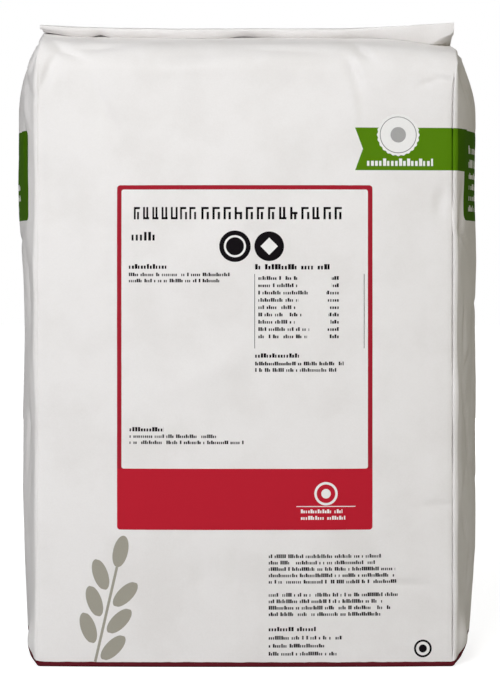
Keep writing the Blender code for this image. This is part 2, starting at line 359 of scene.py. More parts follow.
@dataclass
class PaperSack:
    """The sack's paper as one closed mesh."""

    form: SackForm = field(default_factory=SackForm)
    mouth: MouthForm = field(default_factory=MouthForm)
    width_steps: int = 118
    half_depth_steps: int = 23
    wall_steps: int = 154
    edge_lines: tuple[float, ...] = (0.0034, 0.0024, 0.0018, 0.0015, 0.0008, 0.0)
    head_steps: int = 26
    head_band: float = 0.055
    fold_lines: tuple[float, ...] = (
        0.0, 0.0003, 0.0006, 0.0009, 0.0012, 0.0015, 0.0019, 0.0026, 0.0036
    )
    groove_at: float = 0.0009
    groove_depth: float = 0.0058
    groove_width: float = 0.00045
    groove_slant: float = 0.22
    groove_faint_at: float = 0.302
    even_crumple: tuple[float, float] = (1.10, 0.24)
    head_crumple: tuple[float, float] = (0.75, 0.25)
    edge_crumple: float = 0.45
    foot_crumple: float = 0.35
    most_crumple: float = 1.8
    mouth_crumple: float = 0.25
    mouth_relief: float = 0.30
    lap_height: float = 0.00030
    lap_steps: tuple[float, float] = (0.1212, 0.1240)
    lap_end: float = 0.1360
    lap_top: float = 0.400

    def lines(self) -> tuple[Array, Array, Array]:
        """The grid lines of the plain box along X, Y and Z."""
        form = self.form
        width = graded(form.half_width - self.fold_lines[-1], self.width_steps, 0.55)
        fold = form.half_width - np.array(self.fold_lines)
        width = np.concatenate([-fold, width[1:-1], fold[::-1]])
        half = self.mouth.ridge_thickness / 2
        outer = np.sin(np.linspace(0, math.pi / 2, self.half_depth_steps + 1))
        reach = form.half_depth - self.edge_lines[0] - half
        outer = half + reach * (0.65 * outer + 0.35 * np.linspace(0, 1, len(outer)))
        outer = np.concatenate([outer, form.half_depth - np.array(self.edge_lines[1:])])
        plies = np.linspace(-half, half, self.mouth.plies + 1)
        depth = np.concatenate([-outer[:0:-1], plies, outer[1:]])
        foot = form.foot_radius * np.array([0.0, 0.2, 0.5, 1.0, 2.0])
        wall = np.linspace(foot[-1], form.wall_height - self.head_band, self.wall_steps + 1)[1:]
        head = form.wall_height - self.head_band * np.linspace(1, 0, self.head_steps + 1)[1:] ** 1.6
        return width, depth, np.concatenate([foot, wall, head])

    def build(self) -> bpy.types.Object:
        """Makes the mesh with its paper coordinates.

        Returns:
            The sack, linked to the scene, with the map of paper coordinates.
        """
        width, depth, height = self.lines()
        counts = (len(width), len(depth), len(height))
        ids = np.full(counts, -1)
        outside = np.zeros(counts, bool)
        for axis in range(3):
            for end in (0, -1):
                side = [slice(None)] * 3
                side[axis] = end
                outside[tuple(side)] = True
        ids[outside] = np.arange(outside.sum())
        grid = np.stack(np.meshgrid(width, depth, height, indexing="ij"), axis=-1)
        box = grid[outside]
        quads, maps = map(list, zip(*(self.panel_faces(panel, ids, grid) for panel in Panel)))
        on_side = np.isclose(np.abs(box[:, 0]), self.form.half_width)
        points = self.crease(self.form.place(box, on_side), box)
        loose = self.looseness(box)
        free = np.where(box[:, 2] < 1e-6, 0.0, 1.0)
        low = (len(depth) - 1 - self.mouth.plies) // 2
        root = ids[:, low : low + self.mouth.plies + 1, -1]
        across = width / self.form.half_width
        points, mouth_quads, mouth_maps = self.fold_mouth(points, root, across)
        quads.append(mouth_quads)
        maps.append(mouth_maps)
        middle = (points.min(axis=0) + points.max(axis=0)) / 2
        points = points - np.array([middle[0], middle[1], 0.0])
        added = len(points) - len(box)
        masks = {
            "loose": np.concatenate([loose, np.full(added, self.mouth_crumple)]),
            "free": np.concatenate([free, np.full(added, self.mouth_relief)]),
        }
        return self.make_object(points, np.concatenate(quads), np.concatenate(maps), masks)

    def looseness(self, box: Array) -> Array:
        """Where the paper is crumpled: beside the folds, at the foot and under the roof's ends.

        Args:
            box: Points of the plain box.

        Returns:
            How crumpled each is. The pairs of shares are for the gussets and for the faces.
        """
        form = self.form
        x, y, z = box.T
        gusset = np.isclose(np.abs(x), form.half_width)
        edge = np.where(gusset, form.half_depth - np.abs(y), form.half_width - np.abs(x))
        beside = 1 - edge / 0.030
        head = smooth((z - (form.wall_height - 0.060)) / 0.050)
        foot = smooth(1 - z / 0.035)
        loose = np.where(gusset, *self.even_crumple) + self.edge_crumple * smooth(beside)
        loose = loose + np.where(gusset, *self.head_crumple) * head + self.foot_crumple * foot
        return np.clip(loose, 0, self.most_crumple)

    def panel_faces(self, panel: Panel, ids: Array, grid: Array) -> tuple[Array, Array]:
        """The quads of one side of the box, outwards, and their places on the paper.

        Args:
            panel: Which side.
            ids: Vertex number at each grid place.
            grid: Box coordinates at each grid place.

        Returns:
            Corner numbers of the quads, and paper coordinates of each corner.
        """
        form = self.form
        wide, deep, tall = form.half_width, form.half_depth, form.wall_height
        girth = 4 * (wide + deep)
        pick = {
            Panel.FRONT: np.s_[:, 0, :],
            Panel.BACK: np.s_[::-1, -1, :],
            Panel.LEFT: np.s_[0, ::-1, :],
            Panel.RIGHT: np.s_[-1, :, :],
            Panel.ROOF: np.s_[:, :, -1],
            Panel.BASE: np.s_[:, ::-1, 0],
        }[panel]
        x, y, z = np.moveaxis(grid[pick], -1, 0)
        u, v = {
            Panel.FRONT: (x, z),
            Panel.BACK: (girth / 2 - x, z),
            Panel.LEFT: (-wide - deep - y, z),
            Panel.RIGHT: (wide + deep + y, z),
            Panel.ROOF: (x, tall + deep - np.abs(y)),
            Panel.BASE: (x, -(y + deep) - 0.001),
        }[panel]
        faces = corners(ids[pick])
        places = corners(np.stack([u, v], axis=-1))
        keep = np.ones(faces.shape[:2], bool)
        if panel is Panel.ROOF:
            level = y[0, :]
            middle = (level[:-1] + level[1:]) / 2
            keep[:, np.abs(middle) < self.mouth.ridge_thickness / 2] = False
            back = np.broadcast_to(middle > 0, keep.shape)
            places[back, :, 0] = girth / 2 - places[back, :, 0]
        return faces[keep], places[keep]

    def crease(self, points: Array, box: Array) -> Array:
        """Presses dents, creases and the fold's groove into the panels."""
        form = self.form
        x, y, z = box.T
        front = np.isclose(y, -form.half_depth)
        back = np.isclose(y, form.half_depth)
        right = np.isclose(x, form.half_width)
        left = np.isclose(x, -form.half_width)
        points = points.copy()
        roof = np.isclose(z, form.wall_height) & (np.abs(y) > self.mouth.ridge_thickness)
        for table, facing, side in ((FRONT_DENTS, front, -1), (BACK_DENTS, back, 1)):
            here = facing | (roof & (y * side > 0))
            up = z[here] + np.where(facing[here], 0.0, form.half_depth - np.abs(y[here]))
            turned = smooth((up - form.wall_height + 0.010) / 0.018)
            pressed = press(table, x[here], up)
            points[here, 1] -= side * pressed * (1 - 0.7 * turned)
            points[here, 2] -= pressed * 0.95 * turned
        kept = smooth((form.wall_height - z) / 0.012)
        points[right, 0] -= (kept * press(RIGHT_DENTS, y, z))[right]
        points[left, 0] += (kept * press(LEFT_DENTS, y, z))[left]
        lap = sum(0.5 * smooth((x - step) / 0.0016) for step in self.lap_steps)
        lap = lap * (1 - smooth((x - self.lap_end) / 0.002))
        lap = lap * smooth((self.lap_top - z) / 0.01) * smooth(z / 0.01)
        points[front, 1] -= (self.lap_height * lap)[front]
        edge = form.half_width - np.abs(x)
        along = smooth((z - 0.004) / 0.01) * smooth((form.wall_height - 0.008 - z) / 0.01)
        groove = self.groove_depth * peak(edge - self.groove_at, self.groove_width, 4) * along
        groove = groove * (1 - 0.8 * peak(z - self.groove_faint_at, 0.010, 4))
        points[front, 1] += np.where(x > 0, groove, 0.03 * groove)[front]
        points[front, 0] += np.where(x > 0, groove * self.groove_slant, 0.0)[front]
        points[back, 1] -= 0.3 * groove[back]
        return points

    def fold_mouth(self, points: Array, root: Array, across: Array) -> tuple[Array, Array, Array]:
        """Draws the ridge strip out of the roof and folds it forwards.

        Args:
            points: The places so far.
            root: Vertex numbers of the strip, across the sack and through its plies.
            across: Shares of the half width at the strip's columns.

        Returns:
            All places, the mouth's quads, and their paper coordinates.
        """
        mouth, plies = self.mouth, self.mouth.plies
        wide, deep, tall = self.form.half_width, self.form.half_depth, self.form.wall_height
        numbers, places = [root], [points]
        for row in self.mouth_rows(across):
            first = sum(len(place) for place in places)
            numbers.append(first + np.arange(root.size).reshape(root.shape))
            places.append(row.reshape(-1, 3))
        x = across * wide
        through = np.ones(plies + 1)
        strips = (
            (np.s_[:, 0], x, False),
            (np.s_[:, plies], 2 * (wide + deep) - x, True),
            (np.s_[0, :], x[0] * through, True),
            (np.s_[-1, :], x[-1] * through, False),
        )
        lengths = tall + deep + np.linspace(0, mouth.length, len(numbers))
        quads, maps = [], []
        for step, (low, high) in enumerate(zip(numbers, numbers[1:])):
            for pick, u, flip in strips:
                v = np.broadcast_to(lengths[step : step + 2], (len(u), 2))
                face = corners(np.stack([low[pick], high[pick]], axis=1))[:, 0]
                place = corners(np.stack([np.stack([u, u], axis=1), v], axis=-1))[:, 0]
                quads.append(face[:, ::-1] if flip else face)
                maps.append(place[:, ::-1] if flip else place)
        quads.append(corners(numbers[-1]).reshape(-1, 4))
        maps.append(np.broadcast_to([0.0, lengths[-1]], (len(quads[-1]), 4, 2)))
        return np.concatenate(places), np.concatenate(quads), np.concatenate(maps)

    def mouth_rows(self, across: Array) -> list[Array]:
        """Rows of the flap.

        Args:
            across: Shares of the half width at the flap's columns.

        Returns:
            Places of the turn over the ridge, the stretch over the roof, and the round lip.
        """
        mouth, form = self.mouth, self.form
        share_through = np.linspace(0, 1, mouth.plies + 1)
        x = across * form.half_width
        start = -mouth.ridge_thickness / 2 - mouth.gap
        ridge = form.wall_height + form.roof_lift(x, np.zeros_like(x))
        quarter = math.pi / 2
        parts = (
            ("turn", mouth.turn_rows, quarter),
            ("stretch", mouth.stretch_rows, 1.0),
            ("lip", mouth.lip_rows, quarter),
        )
        steps = [(kind, most * n / rows) for kind, rows, most in parts for n in range(1, rows + 1)]
        wander = 0.0006 * np.sin(9.0 * across + 0.6) + 0.0004 * np.sin(23.0 * across)
        rows = []
        for kind, value in steps:
            share = {"turn": 0.0, "stretch": value, "lip": 1.0}[kind]
            under, top = mouth.underside(across, share), mouth.top(across, share)
            full_under, full_top = under, top
            y = np.full_like(x, start - (mouth.length + start) * share) + wander * smooth(share)
            if kind == "turn":
                y = np.full_like(x, start)
            if kind == "lip":
                middle = (under + top) / 2
                half = (top - under) / 2 * max(0.12, math.cos(value))
                under, top = middle - half, middle + half
                y = y - mouth.lip_reach * math.sin(value)
            through = under[:, None] + (top - under)[:, None] * share_through
            flare = np.where(across < 0, mouth.left_flare, mouth.right_flare) * smooth(share)
            low = np.where(across < 0, mouth.left_underside_flare, mouth.underside_flare)[:, None]
            spread = low + (1 - low) * share_through
            out = x[:, None] + (across * flare)[:, None] * spread
            level = (through - full_under[:, None]) / (full_top - full_under)[:, None]
            cut = past(across, mouth.facet_from)[:, None] - 1.6 * level
            facet = np.maximum(0.0, cut) * smooth(share * 1.5 - 0.5)
            out = out - mouth.facet_in * facet
            back = mouth.facet_back * facet + mouth.lip_tilt * (1 - level) * share**4
            bowl = np.sin(math.pi * share_through) ** 0.7
            deep = np.where(np.isclose(across, 1), mouth.right_hollow, 0.0)
            deep = deep + np.where(np.isclose(across, -1), mouth.left_hollow, 0.0)
            if kind != "lip":
                out = out - (np.sign(across) * deep * smooth(share * 1.6))[:, None] * bowl
            if kind == "turn":
                y = start + through * math.cos(value)
                z = ridge[:, None] + through * math.sin(value)
            else:
                z = (form.wall_height + form.roof_lift(x, y))[:, None] + through
                y = y[:, None] + back
            rows.append(np.stack([out, y, z], axis=-1))
        return rows

    @staticmethod
    def make_object(
        points: Array, quads: Array, maps: Array, masks: dict[str, Array]
    ) -> bpy.types.Object:
        """Makes the mesh object, without the places that no face uses.

        Args:
            points: All places.
            quads: Corner numbers of the faces.
            maps: Paper coordinates of each face's corners.
            masks: Values for each place, by the name of their attribute.

        Returns:
            The object, in the scene.
        """
        used, quads = np.unique(quads, return_inverse=True)
        quads = quads.reshape(-1, 4)
        mesh = bpy.data.meshes.new("sack_paper")
        mesh.from_pydata(points[used].tolist(), [], quads.tolist())
        layer = mesh.uv_layers.new(name=PAPER_MAP)
        layer.uv.foreach_set("vector", maps.astype(np.float32).ravel())
        for name, mask in masks.items():
            layer = mesh.attributes.new(name, "FLOAT", "POINT")
            layer.data.foreach_set("value", mask[used].astype(np.float32))
        mesh.shade_smooth()
        return linked("sack_paper", mesh)


def press(table: tuple[Dent, ...], u: Array, v: Array) -> Array:
    """How far all of a panel's dents press the paper in."""
    return sum(dent.press(u, v) for dent in table)


def dents(*rows: tuple[float, ...]) -> tuple[Dent, ...]:
    """A panel's dents, from rows of Dent's numbers in their order, with lengths in mm."""
    return tuple(
        Dent(*(length / 1000 for length in row[:4]), row[4], row[5] / 1000, *row[6:])
        for row in rows
    )


# u, v, length and width in mm, angle in degrees, depth in mm, share of the width on the sharp side
FRONT_DENTS = dents(
    (-118, 416, 16, 8, -42, 2.9, 0.3),
    (-133, 400, 13, 6, 70, 2.1, 0.4),
    (-98, 423, 16, 6, 12, 1.8, 0.35),
    (80, 418, 12, 6, -60, 2.3, 0.3),
    (20, 421, 30, 5, -6, 1, 0.4),
    (-96, 378, 20, 8, -62, 1.8, 0.5),
    (-30, 405, 30, 7, 8, -1.3),
    (74, 400, 13, 6, -66, 3.4, 0.25),
    (72.5, 378, 14, 3, -80, -1.3),
    (122, 396, 7, 2.2, 25, 1.6, 0.4),
    (133, 400.5, 8, 2.2, -12, 1.6, 0.4),
    (-129, 322, 22, 8, 98, 1.8),
    (130.5, 311, 10, 5, 80, 1.6),
    (128, 109.4, 14, 3.5, 2, 0.9, 0.3),
    (108, 56.9, 15, 4, -3, 1, 0.3),
    (-21, 200, 34, 10, 26, -1.2),
    (-30, 64, 18, 6, 92, 1.4),
    (-7, 64, 16, 5, 86, 1),
)
BACK_DENTS = dents(
    (-80, 360, 34, 9, 64, 2.2, 0.3),
    (60, 260, 44, 12, -30, -1.5),
    (118, 386, 18, 6, 32, 2.2, 0.3),
    (-122, 400, 14, 6, -45, 2.4, 0.25),
    (-118, 60, 20, 5, 5, 1.4, 0.3),
    (120, 150, 18, 5, -8, 1.2, 0.3),
    (30, 70, 24, 7, 85, 1.4),
    (-30, 170, 40, 14, 20, 1.4),
)
RIGHT_DENTS = dents(
    (-38, 386, 26, 5, -40, 2.2, 0.3),
    (38, 386, 26, 5, 40, 2.2, 0.3),
    (-62, 306, 12, 4.5, 80, 2.4, 0.4),
    (-56, 290, 12, 3.4, -30, 1.8, 0.3),
    (-50, 390, 14, 3.4, -62, 2, 0.3),
    (-56, 230, 20, 3.4, 84, 1, 0.4),
    (12, 250, 30, 5, 14, 1.4, 0.4),
    (-32, 200, 30, 4.5, 82, 1.2, 0.4),
    (40, 170, 34, 6, -72, 1.4, 0.5),
    (-30, 130, 22, 4.5, -24, 1.2, 0.4),
    (20, 80, 24, 5, 30, 1.2, 0.4),
    (-56, 22, 12, 9, 90, -2.4, 0.8),
    (-28, 45, 20, 4.5, 58, 1.2, 0.4),
    (-56, 183, 10, 4, -70, 1.6, 0.3),
    (-50, 170, 8, 5, -50, 1.8, 0.3),
    (-44, 148, 14, 3.5, -78, 1.4, 0.35),
    (-56, 125, 7, 4.5, 60, 1.8, 0.3),
    (-52, 93, 9, 4, -60, 1.5, 0.3),
    (-42, 65, 12, 4, 75, 1.4, 0.35),
    (-48, 208, 10, 4, 40, 1.4, 0.3),
    (-60, 14.5, 10, 9, 90, -2.6, 0.6),
)
LEFT_DENTS = dents(
    (-42, 393, 24, 6, 20, 2.2, 0.3),
    (-54, 374, 12, 6, 50, -1.6, 0.35),
    (-50, 348, 24, 4, 86, 1.2, 0.4),
    (-60, 401, 10, 4.5, -50, 2, 0.3),
    (-35, 370, 24, 5, -46, 1.4, 0.3),
    (38, 386, 26, 5, 40, 2.2, 0.3),
    (-50, 255, 24, 5, 78, 2, 0.4),
    (-20, 290, 26, 5, -15, 1.3, 0.4),
    (25, 200, 34, 6, 70, 1.4, 0.5),
    (-45, 150, 26, 4.5, -80, 1.4, 0.4),
    (25, 110, 22, 4.5, 25, 1.2, 0.4),
    (-40, 50, 22, 5, 62, 1.2, 0.4),
    (-52, 160, 10, 4, 80, 1.3, 0.35),
    (-50, 118, 9, 4.5, -65, 1.2, 0.3),
    (-48, 86, 12, 4, 70, 1.2, 0.35),
    (-60, 16, 12, 9, 90, -2.8, 0.6),
)


class Tree:
    """A node tree that is built from Python calls and expressions."""

    def __init__(self, nodes: bpy.types.NodeTree) -> None:
        """Keeps the tree."""
        self.tree = nodes

    def node(self, kind: str, settings: dict | None = None, **inputs: object) -> bpy.types.Node:
        """Adds a node.

        Args:
            kind: The node's type.
            settings: Its own settings, which are made before its sockets are filled.
            inputs: Values or links of its sockets, by name, or by place as in _0.

        Returns:
            The node.
        """
        made = self.tree.nodes.new(kind)
        for name, value in (settings or {}).items():
            setattr(made, name, value)
        for name, value in inputs.items():
            key = int(name[1:]) if name.startswith("_") else name.replace("_", " ")
            self.fill(made.inputs[key], value)
        return made

    def fill(self, socket: bpy.types.NodeSocket, value: object) -> None:
        """Links a value to a socket, or sets it there."""
        if isinstance(value, Value):
            self.tree.links.new(value.socket, socket)
        elif isinstance(value, bpy.types.NodeSocket):
            self.tree.links.new(value, socket)
        else:
            socket.default_value = value

    def maths(self, operation: str, *values: object) -> "Value":
        """The result of a Math node."""
        sides = {f"_{number}": value for number, value in enumerate(values)}
        return self.value(self.node("ShaderNodeMath", {"operation": operation}, **sides).outputs[0])

    def mix(
        self, share: object, first: object, second: object, blend: str = "MIX"
    ) -> bpy.types.NodeSocket:
        """A colour between two others, or another blend of them."""
        settings = {"data_type": "RGBA", "blend_type": blend}
        sides = {"_6": opaque(first), "_7": opaque(second)}
        return self.node("ShaderNodeMix", settings, _0=share, **sides).outputs[2]

    def value(self, socket: bpy.types.NodeSocket) -> "Value":
        """Wraps a socket for use in expressions."""
        return Value(self, socket)


def blank(owner: bpy.types.Material | bpy.types.World) -> Tree:
    """The emptied node tree of a material or a world."""
    owner.use_nodes = True
    owner.node_tree.nodes.clear()
    return Tree(owner.node_tree)


def opaque(colour: object) -> object:
    """A plain colour with its alpha, or a socket as it is."""
    return (*colour, 1.0) if isinstance(colour, tuple) else colour


def math_node(operation: str, reflected: bool = False) -> Callable[..., "Value"]:
    """A method of Value that adds a Math node.

    Args:
        operation: What the node does.
        reflected: True for the method that serves when the left side is a plain number.

    Returns:
        The method. It takes the other side, if the operation has one.
    """

    def method(self: "Value", *others: object) -> "Value":
        """The result of the node."""
        sides = (self, *others)
        return self.tree.maths(operation, *(sides[::-1] if reflected else sides))

    return method


class Value:
    """A number in a node tree, on which Python's operators add Math nodes.

    A comparison gives 1 where it holds, else 0. What a division leaves over is never negative.
    """

    __add__, __radd__ = math_node("ADD"), math_node("ADD", reflected=True)
    __sub__, __rsub__ = math_node("SUBTRACT"), math_node("SUBTRACT", reflected=True)
    __mul__, __rmul__ = math_node("MULTIPLY"), math_node("MULTIPLY", reflected=True)
    __truediv__, __mod__ = math_node("DIVIDE"), math_node("FLOORED_MODULO")
    __pow__, __abs__ = math_node("POWER"), math_node("ABSOLUTE")
    __lt__, __gt__ = math_node("LESS_THAN"), math_node("GREATER_THAN")
    floor, most = math_node("FLOOR"), math_node("MAXIMUM")

    def __init__(self, tree: Tree, socket: bpy.types.NodeSocket) -> None:
        """Keeps the socket."""
        self.tree = tree
        self.socket = socket

    def between(self, low: float, high: float) -> "Value":
        """1 inside a range, else 0."""
        return abs(self - (low + high) / 2) < (high - low) / 2

    def stepped(self, low: float, high: float) -> "Value":
        """A smooth step from 0 at low to 1 at high."""
        made = self.tree.node(
            "ShaderNodeMapRange",
            {"interpolation_type": "SMOOTHSTEP"},
            Value=self,
            From_Min=low,
            From_Max=high,
        )
        return Value(self.tree, made.outputs[0])


@dataclass
class PaperRelief:
    """Small unrest of filled paper, made by a node tree that follows the sack's surface."""

    broad_depth: float = 0.0013
    broad_scale: float = 13.0
    fine_depth: float = 0.00042
    fine_scale: float = 52.0
    crumple_depth: float = 0.00075
    crumple_scale: float = 30.0
    seed: float = 7.0

    def values(self) -> dict[str, float]:
        """The tree's inputs, named as in Broad Depth for broad_depth."""
        return {name.replace("_", " ").title(): value for name, value in asdict(self).items()}

    def tree(self, material: bpy.types.Material) -> bpy.types.NodeTree:
        """Builds the node tree with its named inputs.

        Args:
            material: The paper, which the tree gives to the result.

        Returns:
            The tree.
        """
        group = bpy.data.node_groups.new("paper_relief", "GeometryNodeTree")
        face = group.interface
        face.new_socket("Geometry", in_out="INPUT", socket_type="NodeSocketGeometry")
        for name in self.values():
            face.new_socket(name, in_out="INPUT", socket_type="NodeSocketFloat")
        face.new_socket("Geometry", in_out="OUTPUT", socket_type="NodeSocketGeometry")
        tree = Tree(group)
        inputs = tree.node("NodeGroupInput").outputs
        place = tree.node("GeometryNodeInputPosition").outputs[0]
        height = tree.value(tree.node("ShaderNodeSeparateXYZ", _0=place).outputs[2])
        broad = self.unrest(tree, place, inputs["Broad Scale"], inputs["Seed"], 2.0)
        fine = self.unrest(tree, place, inputs["Fine Scale"], tree.value(inputs["Seed"]) + 3.0, 3.0)
        vectors = "ShaderNodeVectorMath"
        upright = tree.node(vectors, {"operation": "MULTIPLY"}, _0=place, _1=(1.0, 1.0, 0.5))
        facets = tree.node(
            "ShaderNodeTexVoronoi",
            {"voronoi_dimensions": "4D", "feature": "SMOOTH_F1"},
            Vector=upright.outputs[0],
            W=inputs["Seed"],
            Scale=inputs["Crumple Scale"],
            Smoothness=0.18,
        )
        crumple = tree.value(facets.outputs["Distance"]) - 0.45
        loose = tree.value(self.named(tree, "loose"))
        free = tree.value(self.named(tree, "free"))
        lift = broad * inputs["Broad Depth"] + fine * inputs["Fine Depth"]
        lift = lift + crumple * loose * inputs["Crumple Depth"] * 3.0
        lift = lift * free * height.stepped(0.0, 0.006)
        normal = tree.node("GeometryNodeInputNormal").outputs[0]
        offset = tree.node(vectors, {"operation": "SCALE"}, _0=normal, Scale=lift).outputs[0]
        moved = tree.node("GeometryNodeSetPosition", Geometry=inputs["Geometry"], Offset=offset)
        real = tree.node("GeometryNodeRealizeInstances", Geometry=moved.outputs[0])
        dressed = tree.node("GeometryNodeSetMaterial", Geometry=real.outputs[0], Material=material)
        tree.node("NodeGroupOutput", _0=dressed.outputs[0])
        return group

    @staticmethod
    def named(tree: Tree, name: str) -> bpy.types.NodeSocket:
        """A named attribute of the surface."""
        kind = "GeometryNodeInputNamedAttribute"
        return tree.node(kind, {"data_type": "FLOAT"}, Name=name).outputs[0]

    @staticmethod
    def unrest(tree: Tree, place: object, scale: object, seed: object, detail: float) -> Value:
        """Noise about 0."""
        noise = tree.node(
            "ShaderNodeTexNoise",
            {"noise_dimensions": "4D"},
            Vector=place,
            W=seed,
            Scale=scale,
            Detail=detail,
            Roughness=0.5,
        )
        return tree.value(noise.outputs[0]) - 0.5

    def settle(self, sack: bpy.types.Object, material: bpy.types.Material) -> bpy.types.Object:
        """Runs the tree on the sack and gives the plain result.

        Args:
            sack: The creased sack.
            material: The paper.

        Returns:
            A new object with a plain mesh. The first is removed.
        """
        group = self.tree(material)
        modifier = sack.modifiers.new("relief", "NODES")
        modifier.node_group = group
        values = self.values()
        for item in group.interface.items_tree:
            if item.in_out == "INPUT" and item.name in values:
                modifier[item.identifier] = values[item.name]
        graph = bpy.context.evaluated_depsgraph_get()
        plain = bpy.data.meshes.new_from_object(
            sack.evaluated_get(graph), preserve_all_data_layers=True, depsgraph=graph
        )
        sack.modifiers.remove(modifier)
        bpy.data.objects.remove(sack)
        plain.name = PAPER_PIECE
        return linked(PAPER_PIECE, plain)


class Ink(Enum):
    """The colours of the print, as plain reflectance, but for two that are darkened as painted
    shade.
    """

    BLACK = (0.0075, 0.0060, 0.0075)
    RED = (0.500, 0.0165, 0.0330)
    FRAME_RED = (0.370, 0.0170, 0.0320)
    GREEN = (0.092, 0.222, 0.0050)
    # Painted shade: a darker copy of GREEN for the print on the gussets, as they lie in shade.
    GREEN_IN_PAINTED_SHADE = (0.050, 0.142, 0.0001)
    OLIVE = (0.335, 0.318, 0.262)
    WHITE = (0.860, 0.855, 0.845)
    # Painted shade: the base's red print, darkened as in the shade under the sack's foot.
    BASE_RED_PAINTED_SHADE = (0.130, 0.014, 0.022)


@dataclass(frozen=True)
class TextBlock:
    """Rows of small plain blocks that stand where small print is. They spell nothing.

    Places are in metres on the paper. Rows start at the left, or end at the right if flush_right.
    """

    left: float
    right: float
    top: float
    pitch: float
    rows: int
    letter: float
    ink: Ink = Ink.BLACK
    ragged: float = 0.25
    gaps: float = 0.17
    tall: float = 0.62
    stroke: tuple[float, float] = (0.50, 0.38)
    lower: float = 0.30
    flush_right: bool = False

    def mask(self, tree: Tree, w: Value, v: Value) -> Value:
        """Where the rows are printed.

        Args:
            tree: The material's tree.
            w: Place along the sack's girth, within one repeat.
            v: Height along the paper.

        Returns:
            1 on the blocks, else 0.
        """
        down = (self.top - v) / self.pitch
        row = down.floor()
        inside_row = down - row
        seed = self.left * 913.0 + self.top * 377.0
        inwards = self.right - w if self.flush_right else w - self.left
        width = (1 - self.ragged * white(tree, row, seed)) * (self.right - self.left)
        column = inwards / self.letter
        cell = column.floor()
        inside_cell = column - cell
        chance = white(tree, cell, row + seed)
        second = white(tree, cell + 0.5, row + seed)
        field_mask = (inwards > 0) * (inwards < width) * (down > 0) * (down < self.rows)
        inked = (chance > self.gaps).most(cell < 0.5)
        narrow = (inside_cell < (self.stroke[0] + self.stroke[1] * second)) * inked
        top = 0.06 + self.lower * (second < 0.62)
        return field_mask * narrow * (inside_row > top * self.tall) * (inside_row < self.tall)


@dataclass(frozen=True)
class MarkRow(TextBlock):
    """A row of large marks of no alphabet: a stem, a shorter second one and a bar.

    Its own sizes are shares of a mark's place.
    """

    stem: float = 0.205
    second_at: float = 0.44
    second_spread: float = 0.20
    second_half: float = 0.105
    second_top: float = 0.40
    bar_half: float = 0.09
    bar_step: float = 0.41
    bar_end: float = 0.66

    def mask(self, tree: Tree, w: Value, v: Value) -> Value:
        """As for a block of text, with 1 on the marks."""
        down = (self.top - v) / self.pitch
        column = (w - self.left) / self.letter
        cell = column.floor()
        inside = column - cell
        chance = white(tree, cell, self.left * 913.0)
        second = white(tree, cell + 0.5, self.left * 913.0)
        at = abs(inside - self.second_at - self.second_spread * second)
        shorter = (at < self.second_half) * (down > self.second_top * (chance < 0.55))
        bar_at = self.bar_half + self.bar_step * (chance * 3.0).floor()
        bar = (abs(down - bar_at) < self.bar_half) * (inside < self.bar_end)
        marks = union(inside < self.stem, shorter, bar)
        return marks * (column > 0) * (w < self.right) * down.between(0.0, 1.0)


def white(tree: Tree, first: Value, second: Value | float) -> Value:
    """An even random number for each pair of whole numbers."""
    settings = {"noise_dimensions": "1D"}
    noise = tree.node("ShaderNodeTexWhiteNoise", settings, W=first + second * 37.7)
    return tree.value(noise.outputs["Value"])


def rectangle(w: Value, v: Value, box: Box) -> Value:
    """1 inside a rectangle."""
    return w.between(*box[:2]) * v.between(*box[2:])


def union(first: Value, *others: Value) -> Value:
    """1 where any of the masks is 1."""
    for other in others:
        first = first.most(other)
    return first


def round_box(w: Value, v: Value, box: Box, radius: float) -> Value:
    """1 inside a rectangle with round corners."""
    left, right, low, high = box
    aside = (abs(w - (left + right) / 2) - ((right - left) / 2 - radius)).most(0.0)
    above = (abs(v - (low + high) / 2) - ((high - low) / 2 - radius)).most(0.0)
    return (aside * aside + above * above) < radius * radius


def disc(w: Value, v: Value, at: tuple[float, float], radius: float) -> Value:
    """1 inside a disc."""
    aside, above = w - at[0], v - at[1]
    return (aside * aside + above * above) < radius * radius


def ring(w: Value, v: Value, at: tuple[float, float], radius: float, line: float) -> Value:
    """1 on a circle's line, whose outer radius is given."""
    return disc(w, v, at, radius) * (1 - disc(w, v, at, radius - line))


@dataclass(frozen=True)
class WheatEar:
    """A plain ear of wheat with its stem and awns."""

    foot: tuple[float, float]
    lean: float
    length: float = 0.0765
    kernel_pitch: float = 0.0185
    kernel_long: float = 0.0108
    kernel_wide: float = 0.0050
    kernel_out: float = 0.0096
    kernel_turn: float = 32.0
    kernel_rows: int = 3
    ear_start: float = 0.0120

    def mask(self, w: Value, v: Value) -> Value:
        """1 on the ear, else 0."""
        lean = math.radians(self.lean)
        cos, sin = math.cos(lean), math.sin(lean)
        aside = (w - self.foot[0]) * cos - (v - self.foot[1]) * sin
        along = (w - self.foot[0]) * sin + (v - self.foot[1]) * cos
        stagger = (aside > 0) * 0.5
        place = (along - self.ear_start) / self.kernel_pitch + stagger
        row = place.floor()
        local = (place - row - 0.5) * self.kernel_pitch
        out = abs(aside) - self.kernel_out
        turn = math.radians(self.kernel_turn)
        lengthways = local * math.cos(turn) + out * math.sin(turn)
        across = out * math.cos(turn) - local * math.sin(turn)
        egg = (lengthways / self.kernel_long) ** 2 + (across / self.kernel_wide) ** 2
        kernels = (egg < 1) * row.between(-0.5, self.kernel_rows - 0.5)
        tip = ((along - self.length) / self.kernel_long) ** 2 + (aside / self.kernel_wide) ** 2
        stem = (abs(aside) < 0.0009) * along.between(0.0, self.length - self.kernel_long)
        return kernels.most(tip < 1).most(stem)


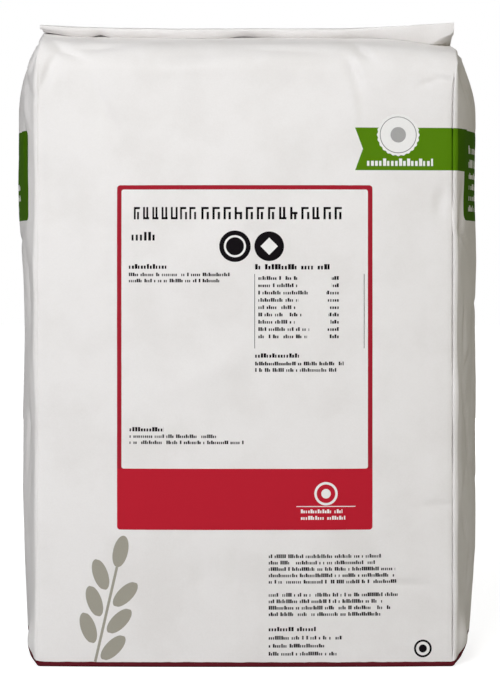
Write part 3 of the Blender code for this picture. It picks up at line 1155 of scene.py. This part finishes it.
@dataclass(frozen=True)
class SackPrint:
    """The print of one main panel and the gusset to its right, which both repeat behind."""

    period: float = 0.420
    half_width: float = 0.140
    frame: Box = (-0.0861, 0.0850, 0.0922, 0.3229)
    window: Box = (-0.0831, 0.0819, 0.1332, 0.3200)
    side_panel: Box = (0.1543, 0.2657, 0.2998, 0.3610)
    ribbon_low: float = 0.3330
    ribbon_high: float = 0.3617
    ribbon_tail: float = 0.0734
    ribbon_notch: float = 0.0053
    seal_at: tuple[float, float] = (0.1025, 0.3569)
    seal_radius: float = 0.0141
    left_disc: tuple[float, float] = (-0.0071, 0.2820)
    right_disc: tuple[float, float] = (0.0158, 0.2820)
    small_ring: tuple[float, float] = (0.1191, 0.0118)
    band_rings: tuple[float, float] = (0.0538, 0.1165)
    texts: tuple[TextBlock, ...] = (
        MarkRow(-0.0748, -0.0314, 0.3083, 0.0083, 1, 0.0062),
        MarkRow(-0.0296, 0.067, 0.3083, 0.0083, 1, 0.00743),
        TextBlock(
            -0.0763, -0.0606, 0.292, 0.01, 1, 0.0028, ragged=0.0, gaps=0.1, stroke=(0.45, 0.2)
        ),
        TextBlock(-0.0781, -0.0522, 0.2703, 0.0055, 1, 0.002, ragged=0.0, gaps=0.06),
        TextBlock(-0.0781, -0.0101, 0.2645, 0.0041, 2, 0.0013, ragged=0.5),
        TextBlock(0.0064, 0.0562, 0.2703, 0.0062, 1, 0.0022, ragged=0.0, gaps=0.08),
        TextBlock(0.0085, 0.044, 0.2622, 0.00488, 9, 0.0014, ragged=0.6, tall=0.55),
        TextBlock(
            0.0535, 0.0623, 0.2622, 0.00488, 9, 0.0016,
            ragged=0.5, tall=0.55, gaps=0.0, flush_right=True,
        ),
        TextBlock(0.0064, 0.0357, 0.2106, 0.005, 1, 0.0019, ragged=0.0, gaps=0.05),
        TextBlock(0.0064, 0.0686, 0.205, 0.0043, 2, 0.0013, ragged=0.3),
        TextBlock(-0.0777, -0.0548, 0.1612, 0.005, 1, 0.0019, ragged=0.0, gaps=0.05),
        TextBlock(-0.0777, 0.0013, 0.1563, 0.0041, 2, 0.0013, ragged=0.45),
        TextBlock(0.0155, 0.1057, 0.076, 0.0043, 5, 0.0013, ragged=0.22),
        TextBlock(0.0155, 0.103, 0.05, 0.00437, 4, 0.0013, ragged=0.25),
        TextBlock(0.0155, 0.0471, 0.027, 0.005, 1, 0.0019, ragged=0.0, gaps=0.1),
        TextBlock(0.0155, 0.0666, 0.0209, 0.0054, 3, 0.0014, ragged=0.3, tall=0.5),
        TextBlock(0.0814, 0.1259, 0.3412, 0.0085, 1, 0.0027, Ink.WHITE, ragged=0.0, gaps=0.08),
        TextBlock(0.1648, 0.229, 0.3516, 0.0096, 2, 0.003, Ink.WHITE, ragged=0.3, gaps=0.1),
        TextBlock(
            0.1648, 0.239, 0.3328, 0.0074, 4, 0.0024, Ink.WHITE, ragged=0.35, tall=0.6, gaps=0.12
        ),
        TextBlock(0.037, 0.0707, 0.1062, 0.0044, 2, 0.0016, Ink.WHITE, ragged=0.2, gaps=0.1),
    )
    ear: WheatEar = WheatEar(foot=(-0.1010, 0.0030), lean=13.0)

    def colour(self, tree: Tree, w: Value, v: Value, paper: object) -> object:
        """Lays every field of the print over the paper.

        Args:
            tree: The material's tree.
            w: Place along the sack's girth, within one repeat.
            v: Height along the paper.
            paper: The bare paper's colour.

        Returns:
            The printed colour.
        """
        red = self.red_field(w, v)
        colour = tree.mix(red, paper, Ink.RED.value)
        colour = tree.mix(red * (v > self.window[2]), colour, Ink.FRAME_RED.value)
        # Past the fold the ribbon and the side panel take the darker copy: painted shade on the
        # gussets.
        green_and_painted_shade = tree.mix(w > self.half_width + 0.0022, Ink.GREEN.value, Ink.GREEN_IN_PAINTED_SHADE.value)
        colour = tree.mix(self.green_field(w, v), colour, green_and_painted_shade)
        colour = tree.mix(self.seal(tree, w, v), colour, Ink.WHITE.value)
        colour = tree.mix(self.wheat(w, v) * 0.94, colour, Ink.OLIVE.value)
        colour = tree.mix(self.black_marks(w, v), colour, Ink.BLACK.value)
        colour = tree.mix(self.white_marks(w, v), colour, Ink.WHITE.value)
        for ink in (Ink.BLACK, Ink.WHITE):
            written = [text.mask(tree, w, v) for text in self.texts if text.ink is ink]
            total = written[0]
            for mask in written[1:]:
                total = total + mask
            colour = tree.mix(total, colour, ink.value)
        return colour

    def red_field(self, w: Value, v: Value) -> Value:
        """The red frame with its solid lower band."""
        return round_box(w, v, self.frame, 0.0022) * (1 - round_box(w, v, self.window, 0.0015))

    def green_field(self, w: Value, v: Value) -> Value:
        """The ribbon round the fold, and the wide panel on the gusset."""
        middle = (self.ribbon_low + self.ribbon_high) / 2
        half = (self.ribbon_high - self.ribbon_low) / 2
        tail = self.ribbon_tail + self.ribbon_notch - abs(v - middle) * (self.ribbon_notch / half)
        ribbon = (w > tail) * (w < self.half_width + 0.020)
        ribbon = ribbon * v.between(self.ribbon_low, self.ribbon_high)
        return ribbon.most(round_box(w, v, self.side_panel, 0.0040))

    def seal(self, tree: Tree, w: Value, v: Value) -> Value:
        """The pale scalloped disc on the ribbon."""
        aside, above = w - self.seal_at[0], v - self.seal_at[1]
        angle = tree.maths("ARCTAN2", above, aside)
        edge = self.seal_radius * (1 + 0.022 * tree.maths("COSINE", angle * 24.0))
        return (aside * aside + above * above) < edge * edge

    def wheat(self, w: Value, v: Value) -> Value:
        """The ear of wheat at the lower left."""
        inside = w.between(-0.135, -0.050) * v.between(0.0018, 0.092)
        return self.ear.mask(w, v) * inside

    def black_marks(self, w: Value, v: Value) -> Value:
        """Discs, rules and the seal's plain rings."""
        return union(
            disc(w, v, self.left_disc, 0.0105),
            disc(w, v, self.right_disc, 0.0099),
            rectangle(w, v, (0.0059, 0.0063, 0.2137, 0.2635)),
            rectangle(w, v, (0.0792, 0.0796, 0.2137, 0.2635)),
            ring(w, v, self.seal_at, 0.0124, 0.0005) * 0.75,
            disc(w, v, self.seal_at, 0.0052) * 0.55,
            ring(w, v, self.small_ring, 0.0060, 0.0014),
            disc(w, v, self.small_ring, 0.0027),
        )

    def white_marks(self, w: Value, v: Value) -> Value:
        """Plain rings in the black discs, and a plain device in the red band."""
        diamond_at = self.right_disc
        return union(
            ring(w, v, self.left_disc, 0.0074, 0.0014),
            (abs(w - diamond_at[0]) + abs(v - diamond_at[1])) < 0.0058,
            ring(w, v, self.band_rings, 0.0078, 0.0016),
            disc(w, v, self.band_rings, 0.0032),
            rectangle(w, v, (0.0340, 0.0735, 0.1077, 0.1082)),
        )


@dataclass(frozen=True)
class PaperFinish:
    """Bleached kraft paper: soft off-white with faint clouds, fibres and a little unevenness."""

    pale: Colour = (0.855, 0.838, 0.832)
    cloud: Colour = (0.812, 0.793, 0.783)
    speck: Colour = (0.62, 0.58, 0.52)
    speck_share: float = 0.05
    rough: float = 0.56
    fibre_height: float = 0.00004
    print_rise: float = 0.0008
    red_height: float = 0.0032
    red_wander: float = 0.0008
    red_corner: float = 0.0050
    red_gusset: float = 0.0115
    sack_print: SackPrint = field(default_factory=SackPrint)

    def material(self) -> bpy.types.Material:
        """Builds the printed paper."""
        made = bpy.data.materials.new("printed_paper")
        tree = blank(made)
        place = tree.node("ShaderNodeUVMap", {"uv_map": PAPER_MAP}).outputs[0]
        parts = tree.node("ShaderNodeSeparateXYZ", _0=place)
        u, v = tree.value(parts.outputs[0]), tree.value(parts.outputs[1])
        half = self.sack_print.half_width
        w = (u + half) % self.sack_print.period - half
        solid = tree.node("ShaderNodeTexCoord").outputs["Object"]
        clouds = self.noise(tree, solid, 24.0, 4.0)
        specks = self.noise(tree, solid, 900.0, 2.0)
        paper = tree.mix(clouds.stepped(0.38, 0.70), self.pale, self.cloud)
        colour = self.sack_print.colour(tree, w, v - self.print_rise, paper)
        # The red print round the base, in a colour darkened as painted shade.
        colour = tree.mix(self.base_red_with_painted_shade(tree, u, v), colour, Ink.BASE_RED_PAINTED_SHADE.value)
        speck = specks.stepped(0.30, 0.75) * self.speck_share
        shade = tree.mix(speck, colour, self.speck, blend="MULTIPLY")
        rough = self.rough + clouds * 0.10 - 0.05
        relief = specks * self.fibre_height * 0.6
        relief = relief + self.noise(tree, solid, 210.0, 3.0) * self.fibre_height * 2.2
        bump = tree.node("ShaderNodeBump", Height=relief, Strength=1.0, Distance=1.0)
        shader = tree.node(
            "ShaderNodeBsdfPrincipled", Base_Color=shade, Roughness=rough, Normal=bump.outputs[0]
        )
        shader.inputs["Specular IOR Level"].default_value = 0.02
        tree.node("ShaderNodeOutputMaterial", Surface=shader.outputs[0])
        return made

    @staticmethod
    def noise(tree: Tree, place: object, scale: float, detail: float) -> Value:
        """Plain noise on a place."""
        made = tree.node(
            "ShaderNodeTexNoise", Vector=place, Scale=scale, Detail=detail, Roughness=0.55
        )
        return tree.value(made.outputs[0])

    def base_red_with_painted_shade(self, tree: Tree, u: Value, v: Value) -> Value:
        """Where the base's red print comes up from the base a little way; its colour is darkened as
        painted shade.
        """
        half = self.sack_print.period / 2
        side = (u + half) % self.sack_print.period - half
        on_gusset = 1 - abs(abs(side) - half) / (half - self.sack_print.half_width)
        settings = {"noise_dimensions": "1D"}
        noise = tree.node("ShaderNodeTexNoise", settings, W=u, Scale=90.0, Detail=2.0)
        wander = tree.value(noise.outputs[0])
        rising = on_gusset.most(0.0) * self.red_corner
        rising = rising + on_gusset.stepped(-0.04, 0.22) * self.red_gusset
        return v < self.red_height + rising + wander * self.red_wander


@dataclass(frozen=True)
class Softbox:
    """A large soft light, given by where it stands round the sack."""

    name: str
    azimuth: float
    elevation: float
    distance: float
    size: float
    power: float
    colour: Colour = (1.0, 1.0, 1.0)

    def place(self, target: Vector) -> None:
        """Sets the light up, aimed at a point. Azimuth 0 is in front and grows to the right."""
        data = bpy.data.lights.new(self.name, "AREA")
        data.size = self.size
        data.energy = self.power
        data.color = self.colour
        turn, rise = math.radians(self.azimuth), math.radians(self.elevation)
        level = math.cos(rise)
        away = Vector((math.sin(turn) * level, -math.cos(turn) * level, math.sin(rise)))
        light = linked(self.name, data)
        light.location = target + away * self.distance
        light.rotation_euler = away.to_track_quat("Z", "Y").to_euler()
        light.visible_camera = False


@dataclass
class Studio:
    """Camera, lights, pale floor and white surroundings."""

    camera_place: tuple[float, float, float] = (0.0020, -1.52, 0.2716)
    lens: float = 110.8
    shift_y: float = -0.1243
    ambient: float = 0.20
    floor_size: float = 16.0
    aim: tuple[float, float, float] = (0.0, 0.0, 0.21)
    lights: tuple[Softbox, ...] = (
        Softbox("key", -16, 25, 2.2, size=0.8, power=33.4),
        Softbox("warm_side", 80, 15, 1.7, size=1.1, power=2.45, colour=(1.0, 0.87, 0.44)),
        Softbox("left_fill", -80, 35, 1.7, size=1.0, power=0.35),
        Softbox("above", 0, 72, 2.2, size=1.0, power=2.2, colour=(0.94, 0.97, 1.0)),
        Softbox("behind", 180, 8, 2.2, size=1.0, power=21.0),
    )

    def build(self) -> None:
        """Sets up the stage."""
        self.camera()
        self.surroundings()
        self.floor()
        for light in self.lights:
            light.place(Vector(self.aim))

    def camera(self) -> None:
        """The photograph's view: level, from in front."""
        data = bpy.data.cameras.new("camera")
        data.lens = self.lens
        data.sensor_width = 36.0
        data.shift_y = self.shift_y
        data.clip_end = 100.0
        made = linked("camera", data)
        made.location = self.camera_place
        made.rotation_euler = (math.pi / 2, 0.0, 0.0)
        bpy.context.scene.camera = made

    def surroundings(self) -> None:
        """Soft even light from all round, and a plain way of showing tones."""
        scene = bpy.context.scene
        world = bpy.data.worlds.new("surroundings")
        tree = blank(world)
        glow = tree.node("ShaderNodeBackground", Color=(1.0, 1.0, 1.0, 1.0), Strength=self.ambient)
        tree.node("ShaderNodeOutputWorld", Surface=glow.outputs[0])
        scene.world = world
        scene.view_settings.view_transform = "Standard"
        scene.view_settings.look = "None"

    def floor(self) -> None:
        """A pale floor and a white dome, both only seen, and a duller floor that only reflects."""
        seen = self.sheet("floor", self.white("floor", diffuse=0.44, glow=(0.81, 1.0)), 0.0)
        dome = self.dome("backdrop", self.white("backdrop", diffuse=0.0, glow=(1.0, 1.0)))
        for piece in (seen, dome):
            piece.visible_diffuse = False
            piece.visible_glossy = False
            piece.visible_transmission = False
            piece.visible_shadow = False
        dull = self.white("floor_bounce", diffuse=0.47, glow=(0.0, 0.0))
        bounce = self.sheet("floor_bounce", dull, -0.0005)
        bounce.visible_camera = False
        bounce.visible_shadow = False

    def sheet(self, name: str, material: bpy.types.Material, height: float) -> bpy.types.Object:
        """A level square of floor."""
        half = self.floor_size / 2
        signs = ((-1, -1), (1, -1), (1, 1), (-1, 1))
        mesh = bpy.data.meshes.new(name)
        mesh.from_pydata([(half * x, half * y, height) for x, y in signs], [], [(0, 1, 2, 3)])
        return self.add(name, mesh, material)

    def dome(self, name: str, material: bpy.types.Material) -> bpy.types.Object:
        """A wide drum round the stage."""
        sides = 48
        radius = self.floor_size * 0.49
        turns = [2 * math.pi * side / sides for side in range(sides)]
        rims = [
            (radius * math.cos(turn), radius * math.sin(turn), z)
            for z in (-0.01, 12.0)
            for turn in turns
        ]
        nexts = [(side, (side + 1) % sides) for side in range(sides)]
        faces = [(side, other, sides + other, sides + side) for side, other in nexts]
        mesh = bpy.data.meshes.new(name)
        mesh.from_pydata(rims, [], [*faces, tuple(range(sides, 2 * sides))])
        return self.add(name, mesh, material)

    @staticmethod
    def add(name: str, mesh: bpy.types.Mesh, material: bpy.types.Material) -> bpy.types.Object:
        made = linked(name, mesh)
        made.data.materials.append(material)
        return made

    @staticmethod
    def white(name: str, diffuse: float, glow: tuple[float, float]) -> bpy.types.Material:
        """A white stage surface that is partly lit from within.

        Args:
            name: The material's name.
            diffuse: How much light it gives back.
            glow: Its own light, under the sack and 1.5 m away.

        Returns:
            The material.
        """
        made = bpy.data.materials.new(name)
        tree = blank(made)
        place = tree.node("ShaderNodeTexCoord").outputs["Object"]
        length = tree.node("ShaderNodeVectorMath", {"operation": "LENGTH"}, _0=place)
        away = tree.value(length.outputs["Value"])
        near, far = ((level, level, level) for level in glow)
        light = tree.mix(away.stepped(0.25, 1.5), near, far)
        shader = tree.node(
            "ShaderNodeBsdfPrincipled",
            Base_Color=(diffuse, diffuse, diffuse, 1.0),
            Roughness=0.9,
            Emission_Color=light,
        )
        shader.inputs["Specular IOR Level"].default_value = 0.0
        shader.inputs["Emission Strength"].default_value = 1.0
        tree.node("ShaderNodeOutputMaterial", Surface=shader.outputs[0])
        return made


def main() -> None:
    """Builds the stage and the sack."""
    Studio().build()
    log.info("stage: camera, lights, floor")
    paper = PaperFinish().material()
    sack = PaperRelief().settle(PaperSack().build(), paper)
    log.info("%s: %d faces", sack.name, len(sack.data.polygons))
    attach(sack, "root")
    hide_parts(SACK_NODE)


if __name__ == "__main__":
    logging.basicConfig(level=logging.INFO, format="%(message)s")
    main()
